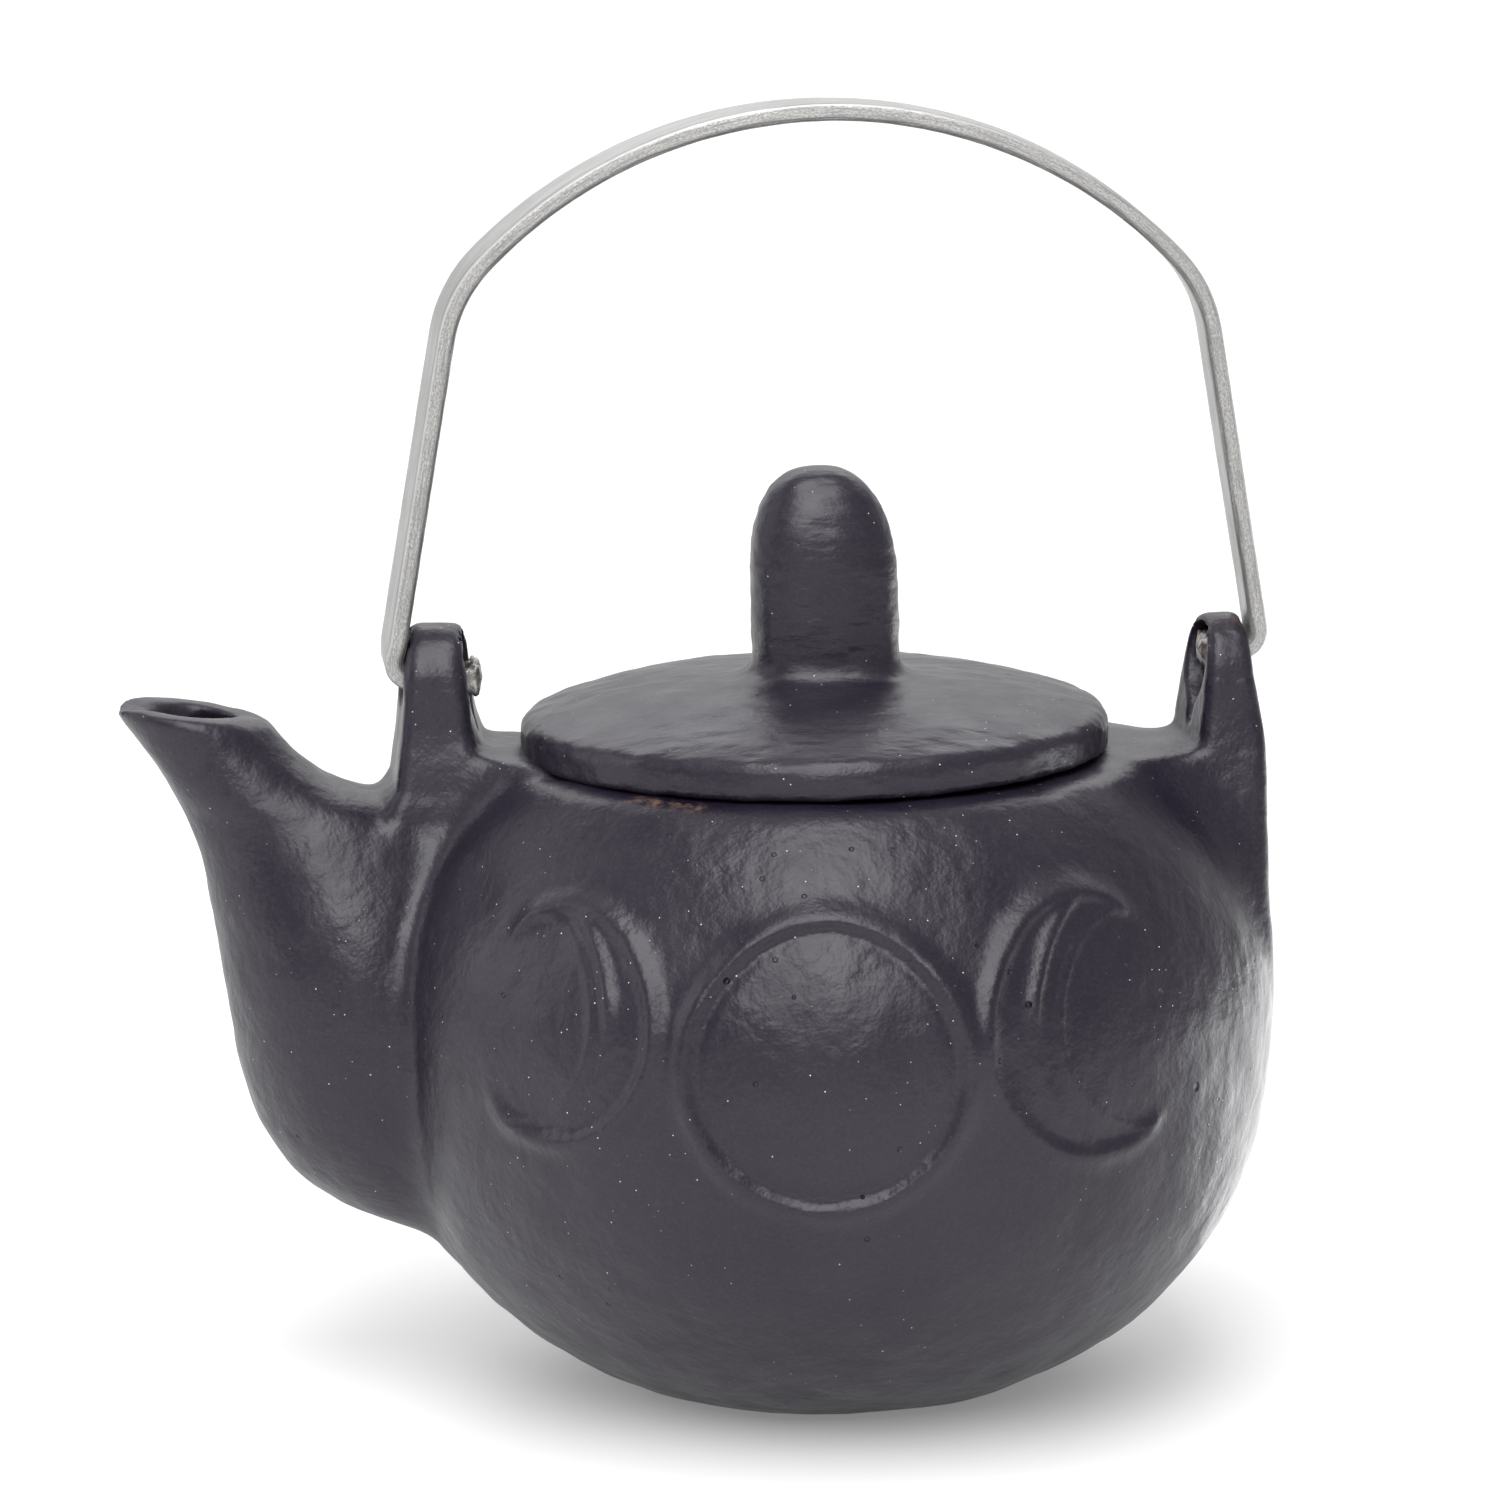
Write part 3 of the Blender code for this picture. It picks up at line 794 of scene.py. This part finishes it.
def painted_iron(name, streaks):
    """Satin black paint over sand-cast iron, with dust, pits and rust where the paint is thin."""
    n = Nodes(name)
    broad = n.noise(40.0, 3.0)
    peel = n.noise(620.0, 2.0, 0.5, n.stretched(streaks))
    grain = n.noise(2200.0, 2.0, 0.6)
    base = n.blend(n.remap(broad, 0.35, 0.65), (0.0065, 0.003, 0.0125, 1), (0.013, 0.0095, 0.0195, 1))
    base = n.blend(n.remap(grain, 0.45, 0.75, 0.0, 0.3), base, (0.035, 0.032, 0.041, 1))
    dust = n.math("MULTIPLY", n.specks(640.0, 0.065), n.remap(n.noise(75.0, 2.0), 0.44, 0.56))
    base = n.blend(dust, base, (0.7, 0.69, 0.68, 1))
    rust = n.math("MULTIPLY", rust_places(n), n.remap(n.noise(700.0, 3.0, 0.6), 0.42, 0.62), clamp=True)
    base = n.blend(rust, base, (0.12, 0.07, 0.045, 1))
    n.feed(n.shader.inputs["Base Color"], base)
    rough = n.math("ADD", n.remap(n.noise(150.0, 3.0), 0.3, 0.7, 0.33, 0.43), n.math("MULTIPLY", rust, 0.3))
    n.feed(n.shader.inputs["Roughness"], rough)
    normal = n.bump(peel, 0.3, 0.0005)
    normal = n.bump(grain, 0.3, 0.00012, normal)
    pits = n.math("MULTIPLY", n.specks(240.0, 0.09), n.remap(n.noise(60.0, 2.0), 0.52, 0.6))
    pits = n.math("ADD", pits, pit_places(n), clamp=True)
    normal = n.bump(n.math("MULTIPLY", pits, -1.0), 0.9, 0.0006, normal)
    n.feed(n.shader.inputs["Normal"], normal)
    return n.material


def total_of(n, places):
    """1 near any of the places, each given as x, y, z and radius."""
    total = 0.0
    for x, y, z, radius in places:
        total = n.math("ADD", n.near((x * MM, y * MM, z * MM), radius * MM), total)
    return total


def rust_places(n):
    """The ledge under the lid's left front, and the top of the ear away from the spout."""
    places = [(BAIL_X + x, y, z, radius) for x, y, z, radius in EAR_RUST]
    for degrees in LEDGE_RUST_DEGREES:
        turn = math.radians(degrees)
        place = (LEDGE_RUST_OUT * math.sin(turn), -LEDGE_RUST_OUT * math.cos(turn), RIM_HEIGHT)
        places.append((*place, LEDGE_RUST_RADIUS))
    return total_of(n, places)


def pit_places(n):
    """The few larger blowholes on the skin of the belly."""
    places = []
    for degrees, height, radius in PITS:
        turn = math.radians(degrees)
        level = (height - BELLY_HEIGHT) / SHOULDER_RISE
        out = BELLY_RADIUS * math.sqrt(1 - level * level)
        places.append((out * math.sin(turn), -out * math.cos(turn), height, radius))
    return total_of(n, places)


def plated_steel():
    """Dull plated strip: lengthwise streaks, a grainy sheared edge, and painted highlight and shade lines
    along its rounded corners.
    """
    n = Nodes("plated_steel")
    place = n.coordinates.outputs["UV"]
    across = n.add("ShaderNodeSeparateXYZ", {"Vector": place}).outputs["Y"]
    streaks = n.noise(1.0, 4.0, 0.6, n.stretched((70.0, 2800.0, 1.0), place))
    grain = n.noise(1.0, 3.0, 0.7, n.stretched((2400.0, 5200.0, 1.0), place))
    scratched = n.noise(1.0, 3.0, 0.6, n.stretched((170.0, 3600.0, 1.0), place))
    cloudy = n.noise(140.0, 3.0, 0.6)
    facing = n.add("ShaderNodeSeparateXYZ", {"Vector": n.coordinates.outputs["Normal"]}).outputs["Y"]
    edge = n.remap(n.math("ABSOLUTE", facing), 0.6, 0.85)
    face = n.blend(n.remap(streaks, 0.35, 0.65), (0.33, 0.33, 0.33, 1), (0.5, 0.5, 0.495, 1))
    sheared = n.blend(n.remap(grain, 0.36, 0.64), (0.26, 0.255, 0.245, 1), (0.58, 0.575, 0.565, 1))
    sheared = n.blend(n.remap(scratched, 0.48, 0.62, 0.0, 0.7), sheared, (0.25, 0.25, 0.245, 1))
    colour = n.blend(edge, face, sheared)
    colour = n.blend(n.remap(cloudy, 0.45, 0.7, 0.0, 0.35), colour, (0.36, 0.355, 0.345, 1))
    # Painted highlight and shade lines along the rounded corners, broken up by the scratch noise.
    for at, reach, tone in PAINTED_EDGE_LINES:
        away = n.math("ABSOLUTE", n.math("SUBTRACT", across, at * MM))
        share = n.remap(away, reach * MM, 0.3 * reach * MM, 0.0, 0.9)
        painted_line_share = n.math("MULTIPLY", share, n.remap(scratched, 0.3, 0.55, 0.35, 1.0))
        colour = n.blend(painted_line_share, colour, (tone, tone, tone, 1))
    for x, rise in ((-LEFT_END, -LEFT_DROP), (RIGHT_END, RIGHT_RISE)):
        tip = ((BAIL_X + x) * MM, 0.0, (PIVOT_HEIGHT + rise) * MM)
        patches = n.remap(n.noise(900.0, 3.0, 0.6), 0.42, 0.58)
        rust = n.math("MULTIPLY", n.near(tip, END_RUST_RADIUS * MM), patches)
        colour = n.blend(rust, colour, (0.13, 0.07, 0.045, 1))
    n.feed(n.shader.inputs["Base Color"], colour)
    n.shader.inputs["Metallic"].default_value = 0.8
    n.feed(n.shader.inputs["Roughness"], n.remap(cloudy, 0.3, 0.7, 0.38, 0.52))
    height = n.blend(edge, streaks, grain)
    n.feed(n.shader.inputs["Normal"], n.bump(height, 0.4, 0.0002))
    return n.material


# --- Floor, lights and camera ---


def make_floor():
    """A plain pale floor that curves up well behind the pot."""
    line = [(-3.0, 0.0), (FLOOR_BACK, 0.0)]
    for turn in np.linspace(0, math.pi / 2, 12):
        line.append((FLOOR_BACK + FLOOR_BEND * math.sin(turn), FLOOR_BEND - FLOOR_BEND * math.cos(turn)))
    line.append((FLOOR_BACK + FLOOR_BEND, 4.0))
    points = [(x, y, z) for y, z in line for x in (-4.0, 4.0)]
    faces = [(2 * i, 2 * i + 1, 2 * i + 3, 2 * i + 2) for i in range(len(line) - 1)]
    floor = mesh_object("floor", np.array(points), np.array(faces))
    n = Nodes("pale_floor")
    colour = n.blend(n.noise(3.0), (0.80, 0.80, 0.80, 1), (0.82, 0.82, 0.82, 1))
    n.feed(n.shader.inputs["Base Color"], colour)
    n.shader.inputs["Emission Color"].default_value = (1.0, 1.0, 1.0, 1.0)
    n.shader.inputs["Emission Strength"].default_value = 0.2
    n.shader.inputs["Roughness"].default_value = 0.75
    n.shader.inputs["Specular IOR Level"].default_value = 0.2
    floor.data.materials.append(n.material)


def soft_light(name, place, target, size, power):
    data = bpy.data.lights.new(name, "AREA")
    data.shape = "RECTANGLE"
    data.size, data.size_y = size
    data.energy = power
    light = bpy.data.objects.new(name, data)
    light.location = place
    light.rotation_euler = (Vector(target) - Vector(place)).to_track_quat("-Z", "Y").to_euler()
    bpy.context.scene.collection.objects.link(light)


def make_lights():
    """A tall softbox in front, a panel on the left, a card lying on the right and a wash on the backdrop."""
    world = bpy.data.worlds.new("studio")
    world.use_nodes = True
    background = world.node_tree.nodes["Background"]
    background.inputs["Color"].default_value = (1.0, 1.0, 1.0, 1.0)
    background.inputs["Strength"].default_value = 0.44
    bpy.context.scene.world = world
    soft_light("front_softbox", (-0.09, -0.64, 0.95), (0, 0, 0.06), (0.66, 1.48), 15.2)
    soft_light("left_panel", (-1.3, 0.1, 0.6), (0, 0, 0.06), (0.7, 1.0), 3.2)
    soft_light("right_card", (0.34, 0.215, 0.003), (0.34, 0.215, 1.0), (0.56, 0.4), 1.5)
    soft_light("back_wash", (0.0, 1.7, 1.4), (0, 1.5, 0.0), (3.0, 1.4), 22.0)


def make_camera():
    data = bpy.data.cameras.new("camera")
    data.lens = LENS
    data.sensor_width = 36.0
    data.clip_start, data.clip_end = 0.05, 20.0
    camera = bpy.data.objects.new("camera", data)
    level = CAMERA_DISTANCE * math.cos(CAMERA_DROP)
    offset = (-level * math.sin(CAMERA_TURN), -level * math.cos(CAMERA_TURN))
    camera.location = SEEN_FROM + Vector((*offset, CAMERA_DISTANCE * math.sin(CAMERA_DROP)))
    camera.rotation_euler = (AIM - camera.location).to_track_quat("-Z", "Y").to_euler()
    bpy.context.scene.collection.objects.link(camera)
    bpy.context.scene.camera = camera


def main():
    bpy.context.scene.view_settings.view_transform = "Standard"
    make_camera()
    make_lights()
    make_floor()
    iron = painted_iron("painted_iron", (1.0, 1.0, 1.0))
    lid_iron = painted_iron("painted_lid_iron", (0.5, 1.0, 1.4))
    make_pot().data.materials.append(iron)
    make_lid().data.materials.append(lid_iron)
    make_bail().data.materials.append(plated_steel())


main()
